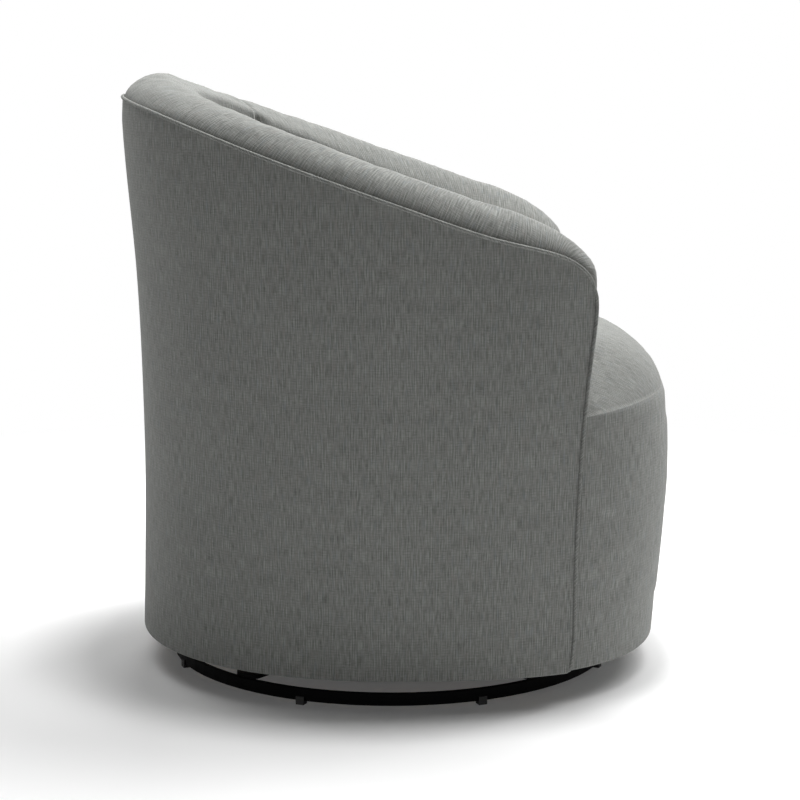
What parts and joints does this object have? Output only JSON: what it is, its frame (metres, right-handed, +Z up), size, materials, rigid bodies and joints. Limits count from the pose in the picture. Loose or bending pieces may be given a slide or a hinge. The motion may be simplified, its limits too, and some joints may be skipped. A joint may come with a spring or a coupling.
{
  "type": "swivel glider chair",
  "caption": "Barrel-shaped upholstered swivel glider chair with a hanging-link glide mechanism on a round steel ring base.",
  "frame": {"origin": "on the floor, under the middle of the chair's overall width and depth", "axes": "+Z up, -Y the way the chair faces, +X the sitter's left side"},
  "size_m": [0.6914, 0.7609, 0.8168],
  "materials": {
    "cover": "grey slub linen weave",
    "black_steel": "satin black powder coat",
    "glide_rubber": "matt black",
    "zinc_steel": "zinc plated",
    "spring_steel": "oiled spring wire",
    "plywood": "raw plywood",
    "dust_cloth": "black spunbond cloth"
  },
  "bodies": {
    "base": {"base_ring": "black_steel", "cross_arm_front_left": "black_steel", "cross_arm_rear_left": "black_steel", "cross_arm_rear_right": "black_steel", "cross_arm_front_right": "black_steel", "foot_glide_1": "glide_rubber", "foot_glide_2": "glide_rubber", "foot_glide_3": "glide_rubber", "foot_glide_4": "glide_rubber", "foot_glide_5": "glide_rubber", "foot_glide_6": "glide_rubber", "foot_glide_7": "glide_rubber", "foot_glide_8": "glide_rubber", "bearing_lower_race": "zinc_steel"},
    "ball_cage": {"bearing_ball_cage": "zinc_steel"},
    "turntable": {"bearing_upper_race": "zinc_steel", "king_bolt": "zinc_steel", "king_nut": "zinc_steel", "turntable_crossbar_front": "black_steel", "turntable_crossbar_rear": "black_steel", "hanger_left": "black_steel", "hanger_right": "black_steel", "upper_pivot_pin_front_left": "zinc_steel", "upper_pivot_pin_front_right": "zinc_steel", "upper_pivot_pin_rear_left": "zinc_steel", "upper_pivot_pin_rear_right": "zinc_steel"},
    "link_front_left": {"swing_link_front_left": "black_steel"},
    "link_front_right": {"swing_link_front_right": "black_steel"},
    "link_rear_left": {"swing_link_rear_left": "black_steel"},
    "link_rear_right": {"swing_link_rear_right": "black_steel"},
    "chair": {"lower_pivot_pin_front_left": "zinc_steel", "lower_pivot_pin_front_right": "zinc_steel", "lower_pivot_pin_rear_left": "zinc_steel", "lower_pivot_pin_rear_right": "zinc_steel", "carriage_rail_left": "black_steel", "carriage_rail_right": "black_steel", "carriage_bolt_front_left": "zinc_steel", "carriage_bolt_front_right": "zinc_steel", "carriage_bolt_rear_left": "zinc_steel", "carriage_bolt_rear_right": "zinc_steel", "hem_board": "plywood", "deck_board": "plywood", "top_rail": "plywood", "back_rib_left": "plywood", "back_rib_right": "plywood", "arm_rib_left": "plywood", "arm_rib_right": "plywood", "seat_spring_1": "spring_steel", "seat_spring_2": "spring_steel", "seat_spring_3": "spring_steel", "seat_spring_4": "spring_steel", "dust_cover": "dust_cloth", "outside_panel": "cover", "welt": "cover", "back_pad": "cover", "arm_pad_left": "cover", "arm_pad_right": "cover", "seat_border": "cover", "seat_cushion": "cover"}
  },
  "joints": [
    {"name": "swivel", "type": "hinge", "parent": "base", "child": "turntable", "pos_m": [0, 0.00775, 0.0344], "axis": [0, 0, 1], "continuous": true},
    {"name": "ball_roll", "type": "hinge", "parent": "base", "child": "ball_cage", "pos_m": [0, 0.00775, 0.0344], "axis": [0, 0, 1], "continuous": true},
    {"name": "glide", "type": "hinge", "parent": "turntable", "child": "link_front_left", "pos_m": [0.1605, -0.10225, 0.215], "axis": [1, 0, 0], "range_deg": [-25, 25]},
    {"name": "carriage_pivot", "type": "hinge", "parent": "link_front_left", "child": "chair", "pos_m": [0.1605, -0.10225, 0.095], "axis": [1, 0, 0], "range_deg": [-25, 25]},
    {"name": "link_swing_front_right", "type": "hinge", "parent": "turntable", "child": "link_front_right", "pos_m": [-0.1605, -0.10225, 0.215], "axis": [1, 0, 0], "range_deg": [-25, 25]},
    {"name": "link_swing_rear_left", "type": "hinge", "parent": "turntable", "child": "link_rear_left", "pos_m": [0.1605, 0.11775, 0.215], "axis": [1, 0, 0], "range_deg": [-25, 25]},
    {"name": "link_swing_rear_right", "type": "hinge", "parent": "turntable", "child": "link_rear_right", "pos_m": [-0.1605, 0.11775, 0.215], "axis": [1, 0, 0], "range_deg": [-25, 25]}
  ],
  "couplings": [
    {"joint": "ball_roll", "follows": "swivel", "ratio": 0.5},
    {"joint": "carriage_pivot", "follows": "glide", "ratio": -1},
    {"joint": "link_swing_front_right", "follows": "glide", "ratio": 1},
    {"joint": "link_swing_rear_left", "follows": "glide", "ratio": 1},
    {"joint": "link_swing_rear_right", "follows": "glide", "ratio": 1}
  ]
}
